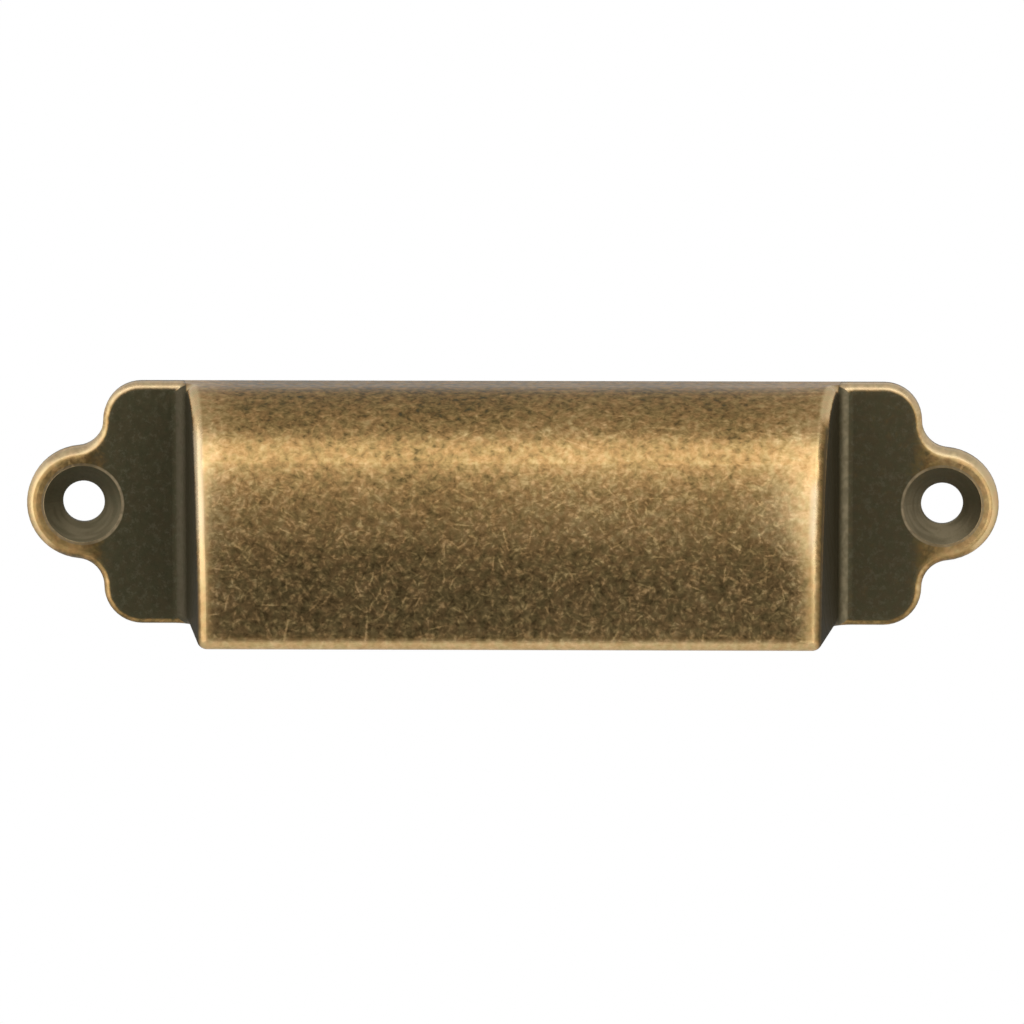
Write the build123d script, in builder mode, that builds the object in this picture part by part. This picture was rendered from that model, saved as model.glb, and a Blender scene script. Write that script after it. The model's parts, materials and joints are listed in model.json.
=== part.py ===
from build123d import *

import os
from math import atan2, cos, degrees, radians, sin

# A cast edge pull: a hollow hood between two flat flanges, each ending in a round screw ear.
# Millimetres and degrees. X runs along the pull, +Z is up and the front faces -Y.
# The origin lies on the flat back, midway between the two screw holes.

# Flanges and ears
hole_spacing = 86.0
flange_height = 24.4
flange_thickness = 2.5
shoulder_span = 81.9
shoulder_radius = 3.8
ear_radius = 5.65

# Countersunk screw holes
hole_diameter = 4.2
countersink_diameter = 7.8
countersink_angle = 90.0

# Hood, sized to its sharp corners before the edges are rounded
hood_width = 65.9
projection = 17.6
end_draft = 7.0
brow_angle = 23.0
lip_draft = 2.0
wall = 1.8

# Cast radii: where the hood meets the flanges, on every outer edge, in the hollow and under the lip
root_radius = 1.6
edge_radius = 1.0
core_radius = 0.8
finger_radius = 0.5

# Worked-out sizes
half_height = flange_height / 2
crown_depth = flange_thickness + root_radius
overcut = 1.0
tolerance = 0.01


def hood_arc_radii():
    """Radii of the brow and front arcs that carry the crown forward and down to the lip.

    Both arcs turn through known angles, so two equations fix them: together they cover the
    hood's run in front of the crown and its whole height.
    """
    brow_run = cos(radians(brow_angle))
    brow_drop = 1 - sin(radians(brow_angle))
    front_run = cos(radians(lip_draft)) - cos(radians(brow_angle))
    front_drop = sin(radians(brow_angle)) - sin(radians(lip_draft))
    run = projection - crown_depth
    determinant = brow_run * front_drop - front_run * brow_drop
    brow_radius = (run * front_drop - flange_height * front_run) / determinant
    front_radius = (flange_height * brow_run - run * brow_drop) / determinant
    return brow_radius, front_radius


def hood_skin(inset):
    """Side view of the hood's skin, inset by a wall: a level crown, the brow and the front."""
    brow_radius, front_radius = hood_arc_radii()
    top = half_height - inset
    crown = Line((0, top), (-crown_depth, top))
    brow = JernArc(crown @ 1, crown % 1, brow_radius - inset, 90 - brow_angle)
    front = JernArc(brow @ 1, brow % 1, front_radius - inset, brow_angle - lip_draft)
    return crown, front


def draft_ends(inset):
    """Trim both ends to walls that lean in towards the front, inset by a wall."""
    lean = radians(end_draft)
    half_width = hood_width / 2 - inset / cos(lean)
    for side in (-1, 1):
        outward = (side * cos(lean), -sin(lean), 0)
        end_wall = Plane(origin=(side * half_width, 0, 0), x_dir=(0, 0, 1), z_dir=outward)
        split(bisect_by=end_wall, keep=Keep.BOTTOM)


def is_end_wall(face):
    """True for a drafted wall that closes an end."""
    return abs(face.normal_at().X) > cos(radians(end_draft)) - tolerance


def is_skin_join(edge):
    """True for a smooth join along the hood, between its crown, brow and front."""
    middle = edge @ 0.5
    in_front = middle.Y < -flange_thickness and middle.Z > tolerance - half_height
    return in_front and abs(middle.X) < tolerance


def is_hollow_mouth(edge):
    """True for an edge that the hollow leaves in the underside of the hood."""
    return hollow_core.part.distance_to(edge @ 0.5) < tolerance


# Ogee between shoulder and ear: a hollow arc that leaves the shoulder upright and meets the ear
hole_x = hole_spacing / 2
shoulder_x = shoulder_span / 2
shoulder_z = half_height - shoulder_radius
ear_reach = hole_x - shoulder_x
hollow_radius = (ear_reach**2 + shoulder_z**2 - ear_radius**2) / (2 * (ear_radius + ear_reach))
ogee_sweep = degrees(atan2(shoulder_z, hollow_radius - ear_reach))

with BuildPart() as flanges:
    with BuildSketch(Plane.XZ):
        with BuildLine():
            top = Line((0, half_height), (shoulder_x - shoulder_radius, half_height))
            shoulder = JernArc(top @ 1, top % 1, shoulder_radius, -90)
            hollow = JernArc(shoulder @ 1, shoulder % 1, hollow_radius, ogee_sweep)
            JernArc(hollow @ 1, hollow % 1, ear_radius, -ogee_sweep)
            mirror(about=Plane.XZ)
            mirror(about=Plane.YZ)
        make_face()
    extrude(amount=flange_thickness)

# Outer form of the hood
with BuildPart() as hood:
    with BuildSketch(Plane.YZ):
        with BuildLine():
            crown, front = hood_skin(0)
            Polyline(front @ 1, (0, -half_height), crown @ 0)
        make_face()
    extrude(amount=hood_width / 2, both=True)
    draft_ends(0)

# Hollow of the hood, one wall inside the outer form, running out at the back and below
with BuildPart() as hollow_core:
    with BuildSketch(Plane.YZ):
        with BuildLine():
            crown, front = hood_skin(wall)
            below = front @ 1 + front % 1 * overcut
            behind = crown @ 0 + Vector(overcut, 0)
            Polyline(front @ 1, below, (behind.X, below.Y), behind, crown @ 0)
        make_face()
    extrude(amount=hood_width / 2, both=True)
    draft_ends(wall)
    corners = hollow_core.faces().filter_by(is_end_wall).edges()
    fillet(corners.filter_by_position(Axis.Y, -projection, overcut - tolerance), core_radius)

# The whole casting: hood and flanges in one, its roots and outer edges rounded, then cored and drilled
with BuildPart() as pull_casting:
    add(flanges.part)
    add(hood.part)
    roots = pull_casting.edges().filter_by(Axis.Z)
    face_y = -flange_thickness
    fillet(roots.filter_by_position(Axis.Y, face_y - tolerance, face_y + tolerance), root_radius)
    rims = pull_casting.edges().filter_by(Axis.Y, reverse=True).filter_by(Axis.Z, reverse=True)
    rims = rims.filter_by_position(Axis.Y, -projection - tolerance, -tolerance)
    fillet(rims.filter_by(is_skin_join, reverse=True), edge_radius)
    add(hollow_core.part, mode=Mode.SUBTRACT)
    underside = pull_casting.edges().group_by(Axis.Z)[0]
    mouth = underside.filter_by_position(Axis.Y, -projection, -tolerance).filter_by(is_hollow_mouth)
    fillet(mouth, finger_radius)
    with Locations(Plane.XZ.offset(flange_thickness)):
        with GridLocations(hole_spacing, 0, 2, 1):
            CounterSinkHole(
                radius=hole_diameter / 2,
                counter_sink_radius=countersink_diameter / 2,
                counter_sink_angle=countersink_angle,
            )

pull_casting.part.label = "pull_casting"
os.makedirs("parts", exist_ok=True)
export_step(pull_casting.part, "parts/pull_casting.step")
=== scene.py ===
import json
import math

import bpy
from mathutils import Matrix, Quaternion, Vector


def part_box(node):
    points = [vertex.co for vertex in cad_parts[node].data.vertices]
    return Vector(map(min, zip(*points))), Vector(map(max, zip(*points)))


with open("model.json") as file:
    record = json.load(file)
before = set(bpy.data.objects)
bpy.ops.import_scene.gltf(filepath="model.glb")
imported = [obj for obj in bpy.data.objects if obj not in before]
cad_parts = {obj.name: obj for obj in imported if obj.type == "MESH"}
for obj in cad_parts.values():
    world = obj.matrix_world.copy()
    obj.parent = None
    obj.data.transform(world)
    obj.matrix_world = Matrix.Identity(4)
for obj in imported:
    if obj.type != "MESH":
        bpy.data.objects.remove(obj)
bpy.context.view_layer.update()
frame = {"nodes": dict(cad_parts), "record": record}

# Antique brass edge pull, seen from a little above. Metres; the materials work in millimetres.

MM = 0.001
PER_METRE = 1000.0

# Sizes of the casting, in millimetres; its brow arc meets its front arc at BROW_JOIN_Z
CASTING = "pull_casting"
holes = next(mount for mount in frame["record"]["mounts"] if mount["name"] == "screw_holes")
HOLE_X = holes["dims"]["spacing_x_mm"] / 2
HALF_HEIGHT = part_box(CASTING)[1].z * PER_METRE
EAR_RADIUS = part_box(CASTING)[1].x * PER_METRE - HOLE_X
FLANGE_FACE = 2.5
EDGE_RADIUS = 1.0
COUNTERSINK_RADIUS = 3.9
HOOD_HALF_WIDTH = 32.95
END_DRAFT = math.radians(7.0)
BROW_ANGLE = math.radians(23.0)
BROW_JOIN_Z = 5.924

# A point in the hollow, amid the length, and the weight of the length in telling outside from inside
HOLLOW_Y = -6.0
HOLLOW_Z = -2.0
HOLLOW_X_WEIGHT = 0.35


# Shader maths

class Field:
    """A number that varies over a surface. Python arithmetic on it adds Math nodes."""

    def __init__(self, finish, socket):
        self.finish = finish
        self.socket = socket

    def math(self, operation, *others, clamp=False):
        settings = {"operation": operation, "use_clamp": clamp}
        node = self.finish.node("ShaderNodeMath", settings, self, *others)
        return Field(self.finish, node.outputs[0])

    def __add__(self, other):
        return self.math("ADD", other)

    __radd__ = __add__

    def __sub__(self, other):
        return self.math("SUBTRACT", other)

    def __rsub__(self, other):
        return self * -1.0 + other

    def __mul__(self, other):
        return self.math("MULTIPLY", other)

    __rmul__ = __mul__

    def __truediv__(self, other):
        return self.math("DIVIDE", other)

    def __pow__(self, other):
        return self.math("POWER", other)

    def __abs__(self):
        return self.math("ABSOLUTE")

    def root(self):
        return self.math("SQRT")

    def cos(self):
        return self.math("COSINE")

    def sin(self):
        return self.math("SINE")

    def least(self, other):
        return self.math("MINIMUM", other)

    def most(self, other):
        return self.math("MAXIMUM", other)

    def clamped(self):
        return self.math("ADD", 0.0, clamp=True)

    def rise(self, start, end):
        """0 below start, 1 above end, smooth between; a start above end gives a fall instead."""
        low, high, at_low, at_high = (start, end, 0.0, 1.0) if start < end else (end, start, 1.0, 0.0)
        settings = {"interpolation_type": "SMOOTHSTEP", "clamp": True}
        node = self.finish.node("ShaderNodeMapRange", settings, self, low, high, at_low, at_high)
        return Field(self.finish, node.outputs[0])

    def between(self, at_zero, at_one):
        """at_zero where the field is 0, at_one where it is 1."""
        return self * (at_one - at_zero) + at_zero


class Finish:
    """The node tree of a material or world, and the means to fill it."""

    def __init__(self, owner):
        owner.use_nodes = True
        self.tree = owner.node_tree
        self.tree.nodes.clear()

    def node(self, kind, settings, *values, **named):
        """Adds a node, makes its settings, then fills its sockets with numbers, links or Fields."""
        node = self.tree.nodes.new(kind)
        for setting, value in settings.items():
            if setting == "stops":
                fill_ramp(node.color_ramp, value)
            else:
                setattr(node, setting, value)
        by_name = [(node.inputs[name.replace("_", " ")], value) for name, value in named.items()]
        for socket, value in list(zip(node.inputs, values)) + by_name:
            if isinstance(value, Field):
                value = value.socket
            if isinstance(value, bpy.types.NodeSocket):
                self.tree.links.new(value, socket)
            elif value is not None:
                socket.default_value = value
        return node

    def vector_math(self, operation, *values, **named):
        return self.node("ShaderNodeVectorMath", {"operation": operation}, *values, **named).outputs[0]

    def parts(self, vector):
        """The x, y and z of a vector, as Fields."""
        split = self.node("ShaderNodeSeparateXYZ", {}, vector)
        return [Field(self, socket) for socket in split.outputs]

    def vector(self, x, y, z):
        return self.node("ShaderNodeCombineXYZ", {}, x, y, z).outputs[0]

    def ramp(self, factor, stops):
        """A grey ramp: pairs of place and level."""
        settings = {"stops": [(place, (level, level, level, 1.0)) for place, level in stops]}
        return Field(self, self.node("ShaderNodeValToRGB", settings, factor).outputs["Color"])

    def colours(self, factor, stops):
        """A colour ramp: pairs of place and colour."""
        settings = {"stops": [(place, (*colour, 1.0)) for place, colour in stops]}
        return self.node("ShaderNodeValToRGB", settings, factor).outputs["Color"]

    def blend(self, share, colour_at_zero, colour_at_one):
        """A colour between two, by a Field from 0 to 1."""
        settings = {"data_type": "RGBA", "clamp_factor": True}
        node = self.node("ShaderNodeMix", settings, share)
        sockets = [socket for socket in node.inputs if socket.type == "RGBA"]
        for socket, colour in zip(sockets, (colour_at_zero, colour_at_one)):
            if isinstance(colour, bpy.types.NodeSocket):
                self.tree.links.new(colour, socket)
            else:
                socket.default_value = (*colour, 1.0)
        return next(socket for socket in node.outputs if socket.type == "RGBA")

    def noise(self, place, size, detail=2.0, roughness=0.5, shift=0.0):
        """Noise about 0.5, with blotches about as large as size."""
        moved = self.vector_math("ADD", place, (shift, shift, shift))
        node = self.node(
            "ShaderNodeTexNoise", {}, moved, Scale=1.0 / size, Detail=detail, Roughness=roughness)
        return Field(self, node.outputs[0])


def fill_ramp(ramp, stops):
    """Give a colour ramp its stops: pairs of place and colour."""
    ramp.elements[0].position = stops[0][0]
    ramp.elements[0].color = stops[0][1]
    ramp.elements[1].position = stops[-1][0]
    ramp.elements[1].color = stops[-1][1]
    for place, colour in stops[1:-1]:
        ramp.elements.new(place).color = colour


# Camera

IMAGE_WIDTH = 1024
PIXELS_PER_MM = 10.0
CAMERA_DISTANCE = 1.0
CAMERA_AZIMUTH = math.radians(1.2)
CAMERA_ELEVATION = math.radians(9.3)
CAMERA_ROLL = math.radians(-0.05)
CLIP_RANGE = (0.05, 20.0)
AIM = Vector((0.0, -FLANGE_FACE * MM, 0.0))
AIM_PIXEL = (512.2, 505.2)
SENSOR_WIDTH = 36.0


def toward(azimuth, elevation):
    """Direction from the origin, in radians; azimuth 0 is the front, positive to the right."""
    return Vector((
        math.sin(azimuth) * math.cos(elevation),
        -math.cos(azimuth) * math.cos(elevation),
        math.sin(elevation),
    ))


def add_camera():
    """Long-lens camera, with the midpoint between the holes at its place in the photograph."""
    data = bpy.data.cameras.new("camera")
    data.sensor_width = SENSOR_WIDTH
    view_width = IMAGE_WIDTH / PIXELS_PER_MM * MM
    data.lens = SENSOR_WIDTH * CAMERA_DISTANCE / view_width
    data.clip_start, data.clip_end = CLIP_RANGE
    camera = bpy.data.objects.new("camera", data)
    bpy.context.scene.collection.objects.link(camera)
    back = toward(CAMERA_AZIMUTH, CAMERA_ELEVATION)
    turn = (-back).to_track_quat("-Z", "Y") @ Quaternion((0, 0, 1), CAMERA_ROLL)
    right = turn @ Vector((1, 0, 0))
    up = turn @ Vector((0, 1, 0))
    half = IMAGE_WIDTH / 2
    aside = (AIM_PIXEL[0] - half) / PIXELS_PER_MM * MM
    down = (AIM_PIXEL[1] - half) / PIXELS_PER_MM * MM
    camera.location = AIM + back * CAMERA_DISTANCE - right * aside + up * down
    camera.rotation_mode = "QUATERNION"
    camera.rotation_quaternion = turn
    bpy.context.scene.camera = camera


# Antique brass: dark patina in the recesses, worn back to brass in short scratches where it stands proud

# Share of wear and the metal's colour there, from bare patina to polished brass
WEAR_COLOURS = [
    (0.0, (0.058, 0.050, 0.020)),
    (0.12, (0.088, 0.071, 0.033)),
    (0.28, (0.222, 0.146, 0.055)),
    (0.55, (0.470, 0.293, 0.114)),
    (0.80, (0.690, 0.468, 0.212)),
    (1.0, (0.900, 0.655, 0.335)),
]

# Casts that the wear colours take: random blotches, and a painted reflection cast, paler and bluer, over the
# lower hood
PLAIN = (1.0, 1.0, 1.0)
GREENISH = (0.97, 1.015, 1.0)
REDDISH = (1.035, 0.985, 0.98)
LOWER_HOOD_REFLECTION_CAST = (0.98, 1.05, 1.16)

# Colours of single places
HOOD_PATINA = (0.135, 0.083, 0.031)
SPECK_COLOUR = (0.150, 0.135, 0.085)
# Painted shade: near black on the walls that close the hood's ends
END_WALL_SHADE = (0.02, 0.013, 0.004)
# Painted reflection of the side lamps on the root fillets, lighter at the right
LEFT_ROOT_REFLECTION = (0.082, 0.065, 0.035)
RIGHT_ROOT_REFLECTION = (0.275, 0.225, 0.131)
# Painted highlight on the countersink cones, over their turning marks
LIT_CONE_COLOUR = (0.260, 0.212, 0.125)
RING_COLOUR = (0.420, 0.325, 0.195)
# Painted highlight on the upper rims and the hood's end edges
RIM_HIGHLIGHT_COLOUR = (0.850, 0.700, 0.470)

# How far these colours cover the metal where they are strongest
HOOD_PATINA_SHARE = 0.65
SPECK_SHARE = 0.4
END_WALL_SHADE_SHARE = 0.5
RIM_HIGHLIGHT_SHARE = 0.5
EDGE_HIGHLIGHT_SHARE = {"left": 0.65, "right": 0.8}
RING_SHARE = 0.9

PATINA_ROUGHNESS = 0.5
HOOD_ROUGHNESS = 0.30
SCRATCH_ROUGHNESS = 0.15
EDGE_ROUGHNESS = 0.27
RIM_ROUGHNESS = 0.40

# Wear of the hood's skin: its base, and what it gains or loses over a range of heights
SKIN_WEAR = 0.400
WEAR_BY_HEIGHT = [(-2.6, -0.8, 0.068), (-6.0, 3.0, 0.02), (5.0, 2.5, 0.042), (8.5, 11.5, -0.11)]

# Wear towards the hood's two ends: how far in it starts, how much further at the upper right, and its gain
END_WEAR_REACH = 5.5
RIGHT_END_REACH = 5.0
END_WEAR = {"left": 0.26, "right": 0.275}

# Width over which the wear runs out at the hood's corners, and how much is added at the right, low and high
RUN_OUT = 0.50
RIGHT_RUN_OUT = (0.30, 0.92)

# Wear of the other parts, from patina to full wear
LIP_WEAR = 0.85
EAR_WEAR = {"left": 0.50, "right": 0.58}
RIM_WEAR = {"below": 0.31, "above": 0.82, "outside": 0.97}
PATINA_WEAR = {"left": 0.035, "right": 0.105}

# Sizes of the blotches in the patina, the tints and the surface, in millimetres
MOTTLE_SIZE = 0.70
SPECK_SIZE = 0.55
CLOUD_SIZE = 8.0
TINT_SIZE = 0.9
TURNING_SIZE = 0.4
WAVE_SIZE = 7.0

# Fine strokes that cover the whole skin, in millimetres
STROKE_WIDTH = 0.31
STROKE_LENGTH = 1.2
STROKE_DIRECTIONS = 7

# Single scratches: cell, width and length in millimetres, and the share of cells that have one
LONG_SCRATCHES = [(1.6, 0.20, 1.5, 0.5), (2.4, 0.20, 2.2, 0.5), (3.6, 0.22, 3.2, 0.4)]
HAIRLINES = [(9.0, 0.24, 5.0, 0.4)]

# How strongly each kind of mark changes the wear, and their middle, which is taken off
MARKS_MIDDLE = 0.02
STROKE_SHARE = 0.46
LONG_SCRATCH_SHARE = 0.11
HAIRLINE_SHARE = 0.18
MOTTLE_SHARE = 0.58
CLOUD_SHARE = 0.24

# Smoother turn from the brow arc to the front arc: its reach along the skin and its change of curvature
BROW_JOIN_REACH = 4.5
BROW_JOIN_BEND = 0.0774

# Soft shoulders where the casting was tumbled round: width in millimetres and strength
HOOD_SHOULDER = {"left": (4.0, 0.13), "right": (5.5, 0.125)}
EAR_SHOULDER_WIDTH = 2.3
EAR_SHOULDER_FALL = {"left": 0.06, "right": 0.03}
LIP_SHOULDER = (2.0, 0.03)

# Crisper turn of the flange rims, waves in the skin, and depth of the marks, in millimetres
CRISP_RIM = {"left": 0.20, "right": 0.13}
WAVE_HEIGHT = 0.015
STROKE_HEIGHT = 0.0045
LONG_SCRATCH_DEPTH = 0.002


class Spot:
    """A point on the casting: where it lies, in millimetres, and how far it belongs to each region."""

    def __init__(self, finish):
        coordinates = finish.node("ShaderNodeTexCoord", {})
        self.finish = finish
        self.place = finish.vector_math("SCALE", coordinates.outputs["Object"], Scale=PER_METRE)
        self.x, self.y, self.z = finish.parts(self.place)
        self.facing_x, self.facing_y, self.facing_z = finish.parts(coordinates.outputs["Normal"])
        self.depth = self.y * -1.0
        self.side = abs(self.x)
        self.on_right = self.x.rise(-1.0, 1.0)
        self.not_back = self.facing_y.rise(0.9, 0.6)
        over_lip = self.z.math("GREATER_THAN", EDGE_RADIUS - HALF_HEIGHT) * 2.0 - 1.0
        over_lip = over_lip * self.side.math("LESS_THAN", HOOD_HALF_WIDTH)
        self.skin = finish.vector(self.x, self.depth * over_lip - self.z, 0.0)
        self.find_hood()
        self.find_flanges()

    def left_to_right(self, values):
        """One value at the left end and another at the right."""
        return self.on_right.between(values["left"], values["right"])

    def find_hood(self):
        """The hood: its skin, the edges at its two ends, its lip and the walls that close its ends."""
        # Outside or inside of the hood: does the surface face away from a point in the hollow
        faces_out = (self.x * self.facing_x) * HOLLOW_X_WEIGHT
        faces_out = faces_out + (self.y - HOLLOW_Y) * self.facing_y + (self.z - HOLLOW_Z) * self.facing_z
        self.outer = faces_out.rise(-0.5, 0.5)
        self.from_corner = self.side * -1.0 - self.depth * math.tan(END_DRAFT) + HOOD_HALF_WIDTH
        skin_facing = abs(self.facing_x).rise(0.95, 0.75) * self.not_back
        self.on_hood = self.outer * self.from_corner.rise(-0.05, 0.15) * skin_facing
        left_narrowing = self.z.rise(-6.0, 0.0) * self.z.rise(9.0, 7.0) * (1.0 - self.on_right) * 0.3
        edge_band = (self.from_corner + left_narrowing).rise(EDGE_RADIUS + 0.9, EDGE_RADIUS - 0.25)
        self.edge = self.on_hood * self.depth.rise(1.0, 3.5) * edge_band
        self.edge = self.edge * self.z.rise(-9.0, -1.0).between(0.68, 1.0)
        self.lip = self.outer * self.z.rise(2.0 - HALF_HEIGHT, 0.8 - HALF_HEIGHT)
        self.lip = self.lip * self.depth.rise(13.0, 15.0) * skin_facing
        self.end_wall = self.outer * abs(self.facing_x).rise(0.8, 0.97)
        self.end_wall = self.end_wall * self.depth.rise(FLANGE_FACE + 0.1, FLANGE_FACE + 1.0)

    def find_flanges(self):
        """The flanges: their rims, the faces of the ears, the countersinks and the roots of the hood."""
        x_from_hole = self.side - HOLE_X
        self.hole_reach = (x_from_hole * x_from_hole + self.z * self.z).root()
        self.out_of_hole = self.hole_reach.rise(COUNTERSINK_RADIUS - 0.05, COUNTERSINK_RADIUS + 0.05)

        # Rim: worn where it tilts from the face, less below, and most round the outside of the ear
        tilt = (self.facing_x * self.facing_x + self.facing_z * self.facing_z).root()
        straight = HALF_HEIGHT - EDGE_RADIUS
        off_root = self.side.rise(HOOD_HALF_WIDTH + 1.2, HOOD_HALF_WIDTH + 1.6)
        off_root = off_root.most(abs(self.z).rise(straight - 0.1, straight + 0.1))
        in_rim = self.depth.rise(0.0, 1.0) * self.depth.rise(FLANGE_FACE + 0.1, FLANGE_FACE)
        in_rim = in_rim * self.from_corner.rise(0.3, -0.4)
        rim = in_rim * (tilt + self.side.rise(HOLE_X - 4.0, HOLE_X) * 0.2).rise(0.3, 0.65)
        rim_wear = self.facing_z.rise(-0.8, 0.2).between(RIM_WEAR["below"], RIM_WEAR["above"])
        rim_wear = rim_wear.most(self.side.rise(HOLE_X + 1.0, HOLE_X + 4.0) * RIM_WEAR["outside"])
        self.rim = rim * self.out_of_hole * off_root * rim_wear

        on_face = self.depth.rise(FLANGE_FACE - 0.2, FLANGE_FACE - 0.05)
        on_face = on_face * self.depth.rise(FLANGE_FACE + 0.1, FLANGE_FACE + 0.02)
        self.ear = on_face * self.out_of_hole * self.side.rise(HOLE_X - 3.6, HOLE_X + 1.2)
        self.ear = self.ear * self.left_to_right(EAR_WEAR)
        self.ring = on_face * abs(self.hole_reach - COUNTERSINK_RADIUS - 0.12).rise(0.20, 0.05)
        # Painted highlight: the cone is lighter where it faces the lamps above and at the right
        toward_light = self.facing_z + self.facing_x * self.on_right.between(-0.2, 0.4)
        self.cone = (1.0 - self.out_of_hole) * self.depth.rise(0.3, 0.6)
        self.cone = self.cone * toward_light.rise(-0.5, 0.75).between(0.14, 1.0)
        self.cone = self.cone * self.on_right.between(0.60, 1.0)

        # Root: the fillet between flange and hood, up to where it turns into the end wall
        root = (self.side + self.on_right * 0.20).rise(HOOD_HALF_WIDTH + 1.05, HOOD_HALF_WIDTH + 0.60)
        root = root * (self.side - self.on_right * 0.25).rise(HOOD_HALF_WIDTH - 0.60, HOOD_HALF_WIDTH + 0.05)
        root = root * self.depth.rise(FLANGE_FACE + 0.01, FLANGE_FACE + 0.04)
        self.root = root * self.outer * self.depth.rise(4.2, 4.0)


class Marks:
    """Strokes, scratches and mottling of the casting's surface, and the texture that they make together."""

    def __init__(self, finish, spot):
        bright, dark = strokes(finish, spot.skin, seed=3.1)
        self.stroke = bright + dark - 1.0
        self.long_scratch = scratches(finish, spot.skin, LONG_SCRATCHES, seed=31.7)
        self.hairline = scratches(finish, spot.skin, HAIRLINES, seed=83.9)
        self.mottle = finish.noise(spot.place, MOTTLE_SIZE, detail=1.0, shift=9.0)
        self.speck = finish.noise(spot.place, SPECK_SIZE, detail=3.0, roughness=0.7, shift=77.0)
        cloud = finish.noise(spot.place, CLOUD_SIZE, shift=21.0)
        texture = self.stroke * STROKE_SHARE + self.long_scratch * LONG_SCRATCH_SHARE
        texture = texture + self.hairline * HAIRLINE_SHARE - MARKS_MIDDLE
        texture = texture + (self.mottle - 0.5) * MOTTLE_SHARE + (cloud - 0.5) * CLOUD_SHARE
        calm_edge = 1.0 - spot.on_hood * spot.from_corner.rise(2.0, 0.8) * 0.5
        self.texture = texture * spot.z.rise(-1.0, 6.0).between(0.9, 1.15) * calm_edge


def strokes(finish, place, seed):
    """Fine strokes in every direction: the brightest and the darkest of streaks laid at several angles."""
    across_skin, down_skin, _ = finish.parts(place)
    bright, dark = None, None
    for number in range(STROKE_DIRECTIONS):
        angle = math.pi * (number + 0.3) / STROKE_DIRECTIONS
        cosine, sine = math.cos(angle), math.sin(angle)
        along = across_skin * (cosine / STROKE_LENGTH) + down_skin * (sine / STROKE_LENGTH)
        across = down_skin * (cosine / STROKE_WIDTH) - across_skin * (sine / STROKE_WIDTH)
        layer = finish.vector(along, across, seed + 7.3 * number)
        noise = finish.node("ShaderNodeTexNoise", {}, layer, Scale=1.0, Detail=0.0)
        streaks = Field(finish, noise.outputs[0])
        bright = streaks if bright is None else bright.most(streaks)
        dark = streaks if dark is None else dark.least(streaks)
    return bright, dark


def scratches(finish, place, layers, seed):
    """Layers of single, slightly bent scratches in random directions."""
    total = None
    for number, (cell, width, length, share) in enumerate(layers):
        shift = (seed + 17.3 * number, seed * 1.7 + 5.9 * number, 0.0)
        moved = finish.vector_math("ADD", place, shift)
        settings = {"voronoi_dimensions": "2D", "feature": "F1"}
        cells = finish.node("ShaderNodeTexVoronoi", settings, moved, Scale=1.0 / cell, Randomness=1.0)
        aside, down, _ = finish.parts(finish.vector_math("SUBTRACT", moved, cells.outputs["Position"]))
        turn, bend, pick = finish.parts(cells.outputs["Color"])
        angle = turn * math.tau
        cosine, sine = angle.cos(), angle.sin()
        along = aside * cosine + down * sine
        across = down * cosine - aside * sine
        across = across + (bend - 0.5) * along * along * (0.5 / cell)
        line = abs(across).rise(width * 0.8, 0.0) * abs(along).rise(length * 0.6, length * 0.1)
        line = line * pick.rise(1.0 - share, 1.0)
        total = line if total is None else total + line
    return total


def worn_level(spot):
    """How far the patina is worn off, before the marks: 0 is patina, 1 is polished brass."""
    skin = SKIN_WEAR
    for start, end, gain in WEAR_BY_HEIGHT:
        skin = skin + spot.z.rise(start, end) * gain
    upper = spot.z.rise(-7.0, 2.0)
    end_reach = spot.from_corner / (spot.on_right * upper * RIGHT_END_REACH + END_WEAR_REACH)
    near_edge = spot.on_hood * end_reach.rise(1.0, 0.15) * spot.z.rise(-8.0, 6.0).between(0.35, 1.0)
    near_edge = near_edge * spot.left_to_right(END_WEAR)
    near_edge = near_edge * (1.0 - spot.on_right * spot.z.rise(3.0, 7.5) * 0.4)

    # Wear runs out round the corner towards the end wall, but not over the brow
    run_out_width = spot.on_right * upper.between(*RIGHT_RUN_OUT) + RUN_OUT
    worn_off = ((spot.from_corner + 0.08) / run_out_width).rise(0.0, 1.0).most(spot.z.rise(8.5, 10.5))
    level = (spot.on_hood * (skin + near_edge)).most(spot.lip * LIP_WEAR).most(spot.edge)
    level = level * worn_off.most(1.0 - spot.on_hood)
    return level.most(spot.rim).most(spot.ear)


def marked_wear(spot, marks, level):
    """The worn level with its scratches and mottling, strongest where it is half worn."""
    spread = level.rise(0.05, 0.35) * level.rise(1.15, 0.6)
    spread = spread.between(0.20, 1.0) * spot.ear.rise(0.0, 0.4).between(1.0, 0.45)
    patina = spot.left_to_right(PATINA_WEAR) * (1.0 - spot.on_hood)
    patina = patina + spot.on_hood * (spot.on_right * spot.z.rise(-6.0, 1.0) * 0.05 + 0.02)
    return (level + patina + marks.texture * spread).clamped()


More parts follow.
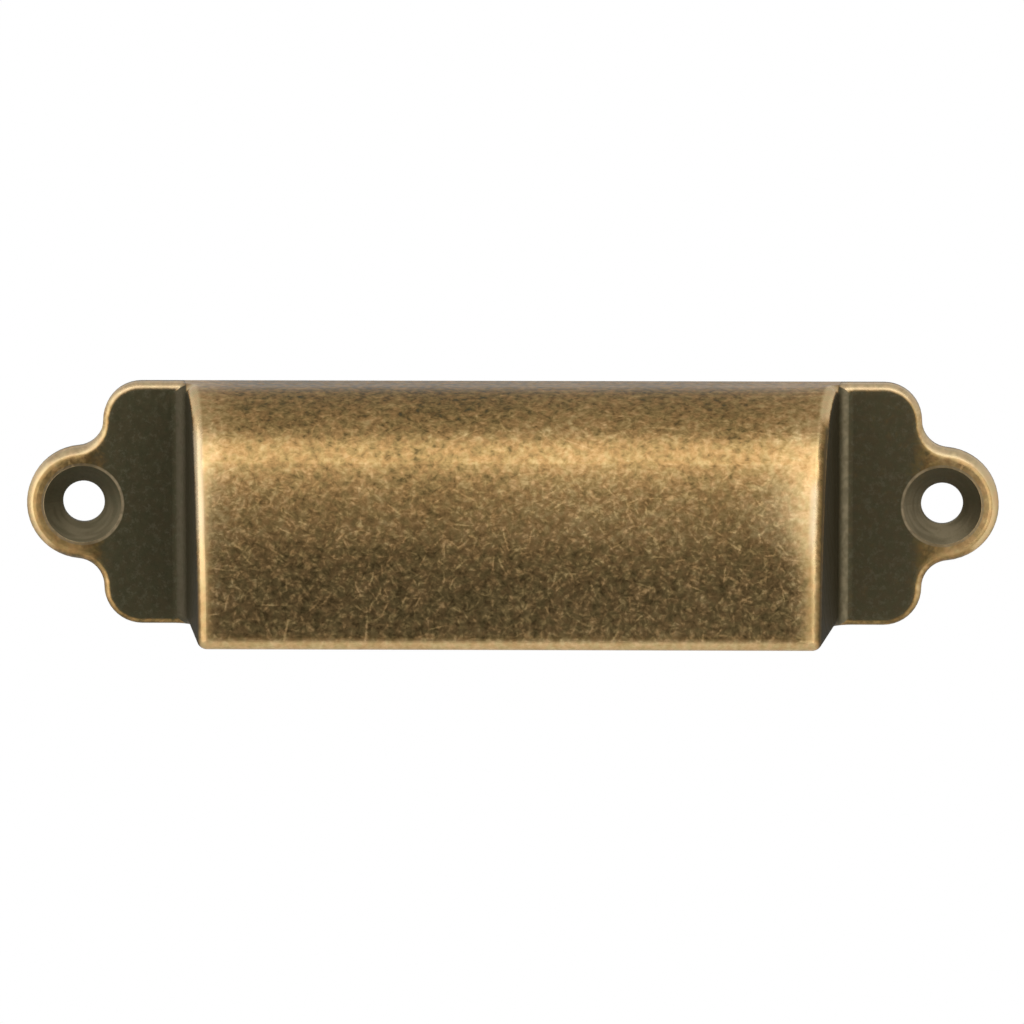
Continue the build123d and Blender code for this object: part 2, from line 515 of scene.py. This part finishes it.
def brass_colour(spot, marks, wear):
    """Colour of the metal by its wear, with casts and stains, and painted shade, reflection and highlights
    of single places, laid over it.
    """
    finish = spot.finish
    not_edge = 1.0 - spot.lip.most(spot.edge)
    # Painted reflection: a paler, bluer cast over the lower hood, away from the lip and edges
    lower_hood_reflection_cast = finish.blend(spot.on_hood * spot.z.rise(4.0, -8.0) * not_edge, PLAIN, LOWER_HOOD_REFLECTION_CAST)
    tint = finish.noise(spot.place, TINT_SIZE, detail=1.0, shift=41.0).rise(0.35, 0.65)
    colour = finish.vector_math("MULTIPLY", finish.colours(wear, WEAR_COLOURS), lower_hood_reflection_cast)
    colour = finish.vector_math("MULTIPLY", colour, finish.blend(tint, GREENISH, REDDISH))
    left_in_marks = spot.on_hood * wear.rise(0.36, 0.14) * spot.z.rise(11.0, 8.0) * HOOD_PATINA_SHARE
    colour = finish.blend(left_in_marks, colour, HOOD_PATINA)
    on_patina = (1.0 - spot.on_hood.most(spot.rim).most(spot.ear)) * spot.out_of_hole
    colour = finish.blend(on_patina * marks.speck.rise(0.48, 0.72) * SPECK_SHARE, colour, SPECK_COLOUR)
    # Painted shade: the end walls darkened towards black
    colour = finish.blend(spot.end_wall * END_WALL_SHADE_SHARE, colour, END_WALL_SHADE)

    # Painted highlight: a pale, whitish colour on the upper rims of the flanges and the middle of the hood's
    # two end edges, where the lamps glint
    rim_highlight = spot.rim * spot.facing_z.rise(0.0, 0.6) * RIM_HIGHLIGHT_SHARE
    colour = finish.blend(rim_highlight, colour, RIM_HIGHLIGHT_COLOUR)
    left_edge_highlight = spot.edge * spot.from_corner.rise(1.2, 0.7) * (1.0 - spot.on_right)
    left_edge_highlight = left_edge_highlight * spot.z.rise(-3.0, 1.0) * spot.z.rise(10.0, 7.5) * EDGE_HIGHLIGHT_SHARE["left"]
    right_edge_highlight = spot.edge * spot.from_corner.rise(1.8, 1.3) * spot.from_corner.rise(0.5, 1.1)
    right_edge_highlight = right_edge_highlight * spot.on_right * spot.z.rise(-4.0, 0.0) * spot.z.rise(5.0, 3.0)
    right_edge_highlight = right_edge_highlight * EDGE_HIGHLIGHT_SHARE["right"]
    colour = finish.blend(left_edge_highlight.most(right_edge_highlight), colour, RIM_HIGHLIGHT_COLOUR)

    # Painted reflection: lighter lines along the roots, lightest at the right, where the fillets catch the
    # side lamps; and the turned cones of the countersinks with their burrs
    stain = marks.mottle.rise(0.3, 0.7).between(0.55, 1.0)
    root_reflection_colour = finish.blend(spot.on_right, LEFT_ROOT_REFLECTION, RIGHT_ROOT_REFLECTION)
    colour = finish.blend(spot.root * stain, colour, root_reflection_colour)
    # Painted highlight: the cones lighter towards the lamps, with their real turning marks
    round_hole = finish.vector(spot.hole_reach, spot.x * 0.12, spot.z * 0.12)
    turned = finish.noise(round_hole, TURNING_SIZE, detail=1.0, shift=5.0)
    colour = finish.blend(spot.cone * turned.rise(0.3, 0.62).between(0.55, 1.05), colour, LIT_CONE_COLOUR)
    return finish.blend(spot.ring * stain * RING_SHARE, colour, RING_COLOUR)


def brass_roughness(spot, marks, level):
    """Smoother where the metal is worn bare, rougher in scratches."""
    scratched = (marks.stroke * 3.0 + marks.long_scratch + marks.hairline).clamped()
    roughness = level.rise(0.0, 0.35).between(PATINA_ROUGHNESS, HOOD_ROUGHNESS)
    roughness = roughness + scratched * SCRATCH_ROUGHNESS
    roughness = roughness + spot.edge * (EDGE_ROUGHNESS - HOOD_ROUGHNESS)
    return roughness + spot.rim.rise(0.2, 0.6) * (RIM_ROUGHNESS - HOOD_ROUGHNESS)


def hood_shoulders(spot):
    """Fall of the skin towards the hood's two ends, in millimetres; wider up the right end."""
    left_width, left_fall = HOOD_SHOULDER["left"]
    right_width, right_fall = HOOD_SHOULDER["right"]
    upper = spot.z.rise(-6.0, 2.0)
    widening = upper * spot.on_right.between(-0.15, 0.45) + spot.on_right.between(0.85, 0.55)
    width = spot.on_right.between(left_width, right_width) * widening
    shoulder = (1.0 - spot.from_corner / width).most(0.0) ** spot.on_right.between(3.0, 2.0)
    shoulder = shoulder * width * spot.on_right.between(left_fall, right_fall)
    return shoulder * (1.0 - spot.on_right * upper * 0.2) * spot.outer * spot.depth.rise(3.0, 9.0)


def ear_shoulders(spot):
    """Fall of the ears towards their outer edge, in millimetres."""
    slope = (EAR_SHOULDER_WIDTH - EAR_RADIUS + spot.hole_reach).most(0.0)
    slope = slope * spot.side.rise(HOLE_X - 2.0, HOLE_X + 1.0)
    fall = slope * slope * spot.left_to_right(EAR_SHOULDER_FALL)
    return fall * spot.depth.rise(0.5, 1.5) * spot.out_of_hole


def lip_shoulder(spot):
    """Fall of the skin towards the lip, in millimetres."""
    width, fall = LIP_SHOULDER
    slope = (spot.z * -1.0 - HALF_HEIGHT + width).most(0.0)
    return slope * slope * fall * spot.outer * spot.depth.rise(8.0, 12.0)


def brow_join(spot):
    """Softer change of curvature where the brow arc meets the front arc, in millimetres."""
    from_join = (spot.z - BROW_JOIN_Z) * (1.0 / math.cos(BROW_ANGLE) / BROW_JOIN_REACH)
    from_join = from_join.least(1.0).most(-1.0)
    tail = 1.0 - abs(from_join)
    join = from_join.math("SIGN") * (1.0 - tail * tail * tail)
    return join * (BROW_JOIN_BEND * BROW_JOIN_REACH**2 / 12.0) * spot.outer * spot.depth.rise(6.0, 9.0)


def crisp_rims(spot):
    """Crisper turn of the flange rims than the casting's own rounded edge, in millimetres."""
    edge_turn = (spot.depth - FLANGE_FACE + EDGE_RADIUS).clamped()
    rim = (1.0 - edge_turn ** 4.0) * spot.left_to_right(CRISP_RIM) * spot.out_of_hole * spot.not_back
    rim = rim * spot.side.rise(HOOD_HALF_WIDTH, HOOD_HALF_WIDTH + 0.5)
    return rim * spot.side.rise(HOLE_X - 1.5, HOLE_X - 3.5)


def antique_brass():
    """The finish of the whole casting, with its softened and crisped edges as bump."""
    material = bpy.data.materials.new("antique_brass_finish")
    finish = Finish(material)
    spot = Spot(finish)
    marks = Marks(finish, spot)
    level = worn_level(spot)
    wear = marked_wear(spot, marks, level)
    wave = finish.noise(spot.place, WAVE_SIZE, detail=1.0, shift=63.0)
    height = wave * WAVE_HEIGHT + marks.stroke * STROKE_HEIGHT - marks.long_scratch * LONG_SCRATCH_DEPTH
    height = height + crisp_rims(spot) - hood_shoulders(spot) - ear_shoulders(spot)
    height = height - lip_shoulder(spot) - brow_join(spot)
    bump = finish.node("ShaderNodeBump", {}, Strength=1.0, Distance=MM, Height=height)
    shader = finish.node(
        "ShaderNodeBsdfPrincipled", {}, Base_Color=brass_colour(spot, marks, wear),
        Metallic=wear.rise(0.0, 0.3).between(0.6, 1.0), Roughness=brass_roughness(spot, marks, level),
        Normal=bump.outputs[0],
    )
    finish.node("ShaderNodeOutputMaterial", {}, Surface=shader.outputs[0])
    return material


# Studio: a white background, a dim front, one soft lamp above the front and one at each side

WHITE = (1.0, 1.0, 1.0, 1.0)
WORLD_FILL = 0.5
SIDE_GLOW = 0.45

# What the metal reflects of the room, from straight below at 0 to straight above at 1
FRONT_LEVELS = [
    (0.0, 0.36), (0.30, 0.38), (0.37, 0.40), (0.42, 0.28), (0.46, 0.11), (0.50, 0.07),
    (0.60, 0.07), (0.65, 0.10), (0.69, 0.20), (0.76, 0.30), (0.9, 0.45), (1.0, 0.50),
]
BACK_LEVELS = [
    (0.0, 0.15), (0.46, 0.15), (0.54, 0.62), (0.6, 0.62), (0.68, 0.46),
    (0.8, 0.45), (0.9, 0.48), (1.0, 0.50),
]

# Lamps: azimuth and elevation in degrees, distance, width and height in metres, and radiance
LAMPS = {
    "key_lamp": (0.0, 53.6, 0.7, 0.9, 0.30, 1.22),
    "left_lamp": (-60.0, 14.0, 0.6, 0.84, 0.88, 0.82),
    "right_lamp": (31.0, 10.0, 0.6, 0.30, 0.80, 1.25),
}

FLOOR_HEIGHT = -0.1
FLOOR_RADIUS = 0.17
FLOOR_COLOUR = (0.8, 0.8, 0.79, 1.0)
FLOOR_ROUGHNESS = 0.6


def add_world():
    """White to the camera; a room with dim and bright parts to the metal."""
    world = bpy.data.worlds.new("studio")
    bpy.context.scene.world = world
    finish = Finish(world)
    ray = finish.node("ShaderNodeLightPath", {})
    camera_ray = Field(finish, ray.outputs["Is Camera Ray"])
    glossy_ray = Field(finish, ray.outputs["Is Glossy Ray"])
    transmission_ray = Field(finish, ray.outputs["Is Transmission Ray"])
    aside, ahead, above = finish.parts(finish.node("ShaderNodeTexCoord", {}).outputs["Generated"])
    above = above * 0.5 + 0.5
    front = finish.ramp(above, FRONT_LEVELS)
    back = finish.ramp(above, BACK_LEVELS)
    dim_sides = abs(aside).rise(0.3, 0.9) * above.rise(0.8, 0.6) * 0.8
    back = back * (1.0 - dim_sides)
    side_glow = abs(aside).rise(0.45, 0.8) * above.rise(0.9, 0.6) * SIDE_GLOW
    reflected = front + (back - front) * ahead.rise(-0.2, 0.5) + side_glow
    sees = glossy_ray.most(transmission_ray)
    strength = reflected * sees + (1.0 - sees) * WORLD_FILL
    strength = camera_ray + (1.0 - camera_ray) * strength
    background = finish.node("ShaderNodeBackground", {}, WHITE, Strength=strength)
    finish.node("ShaderNodeOutputWorld", {}, Surface=background.outputs[0])


def add_lamp(name, azimuth, elevation, distance, width, height, radiance):
    """A rectangular soft lamp that faces the origin."""
    data = bpy.data.lights.new(name, "AREA")
    data.shape = "RECTANGLE"
    data.size = width
    data.size_y = height
    data.energy = radiance * math.pi * width * height
    lamp = bpy.data.objects.new(name, data)
    bpy.context.scene.collection.objects.link(lamp)
    direction = toward(math.radians(azimuth), math.radians(elevation))
    lamp.location = direction * distance
    lamp.rotation_mode = "QUATERNION"
    lamp.rotation_quaternion = direction.to_track_quat("Z", "Y")


def add_floor():
    """A pale round table top under the pull."""
    bpy.ops.object.select_all(action="DESELECT")
    bpy.ops.mesh.primitive_circle_add(
        vertices=96, radius=FLOOR_RADIUS, fill_type="NGON", location=(0.0, 0.0, FLOOR_HEIGHT))
    floor = bpy.context.active_object
    floor.name = "table_top"
    material = bpy.data.materials.new("pale_table_top")
    finish = Finish(material)
    shader = finish.node("ShaderNodeBsdfPrincipled", {}, FLOOR_COLOUR, Roughness=FLOOR_ROUGHNESS)
    finish.node("ShaderNodeOutputMaterial", {}, Surface=shader.outputs[0])
    floor.data.materials.append(material)


add_camera()
add_world()
add_floor()
for lamp_name, lamp_values in LAMPS.items():
    add_lamp(lamp_name, *lamp_values)

casting = frame["nodes"][CASTING]
casting.data.materials.clear()
casting.data.materials.append(antique_brass())

bpy.context.scene.view_settings.view_transform = "Standard"
